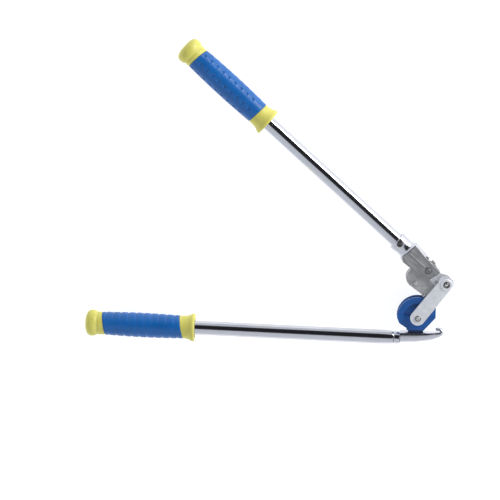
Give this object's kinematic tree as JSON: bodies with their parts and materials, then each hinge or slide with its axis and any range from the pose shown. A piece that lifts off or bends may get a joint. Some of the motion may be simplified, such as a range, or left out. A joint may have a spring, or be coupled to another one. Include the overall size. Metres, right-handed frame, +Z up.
{
  "type": "strapping tensioner tool",
  "caption": "Two-handled lever tool with a grooved former wheel, a hooked foot and a roller shoe that swings round the wheel.",
  "frame": {"origin": "centre of the underside of the tool's box as it lies on its side", "axes": "+X along the lower handle towards the hooked foot, +Y towards the upper handle, +Z up along every pivot axis"},
  "size_m": [0.4556, 0.3778, 0.035],
  "materials": {
    "chrome": "bright chrome plate",
    "cast_steel": "grit-blasted cast steel, satin",
    "bright_steel": "zinc-plated fasteners and turned pins",
    "former_blue": "semi-gloss moulded nylon",
    "grip_blue": "satin moulded soft grip",
    "grip_yellow": "satin moulded plastic"
  },
  "bodies": {
    "base": {"lower_tube": "chrome", "lower_grip_core": "grip_yellow", "lower_grip_sleeve": "grip_blue", "foot_ferrule": "chrome", "foot_hook": "chrome", "former_seat": "bright_steel", "former_wheel": "former_blue", "former_bush": "bright_steel", "former_screw_rear": "bright_steel", "former_screw_front": "bright_steel"},
    "yoke": {"yoke": "cast_steel", "former_axle": "bright_steel", "former_axle_clip": "bright_steel", "former_washer_near": "bright_steel", "former_washer_far": "bright_steel", "shoe_pin": "bright_steel", "shoe_pin_clip": "bright_steel", "shoe_stop_pin": "bright_steel"},
    "shoe": {"shoe_bracket": "cast_steel", "shoe_rivet": "bright_steel", "shoe_spacer": "bright_steel", "shoe_pin_bush": "bright_steel", "handle_pivot_bush": "bright_steel", "roller_pin": "bright_steel"},
    "roller": {"pressure_roller": "bright_steel"},
    "handle": {"near_cheek": "cast_steel", "far_cheek": "cast_steel", "handle_socket": "chrome", "handle_rivet": "bright_steel", "set_screw": "bright_steel", "stop_bar": "cast_steel", "stop_screw": "bright_steel", "stop_nut": "bright_steel", "upper_tube": "chrome", "upper_grip_core": "grip_yellow", "upper_grip_sleeve": "grip_blue"}
  },
  "joints": [
    {"name": "yoke_swing", "type": "hinge", "parent": "base", "child": "yoke", "pos_m": [0.1866, -0.14275, 0.0175], "axis": [0, 0, 1], "range_deg": [-70, 25]},
    {"name": "shoe_lift", "type": "hinge", "parent": "yoke", "child": "shoe", "pos_m": [0.2192, -0.09845, 0.0175], "axis": [0, 0, 1], "range_deg": [-8, 0]},
    {"name": "roller_spin", "type": "hinge", "parent": "shoe", "child": "roller", "pos_m": [0.1933, -0.11375, 0.0175], "axis": [0, 0, 1], "continuous": true},
    {"name": "handle_fold", "type": "hinge", "parent": "shoe", "child": "handle", "pos_m": [0.196, -0.08205, 0.0175], "axis": [0, 0, 1], "range_deg": [0, 20]}
  ]
}
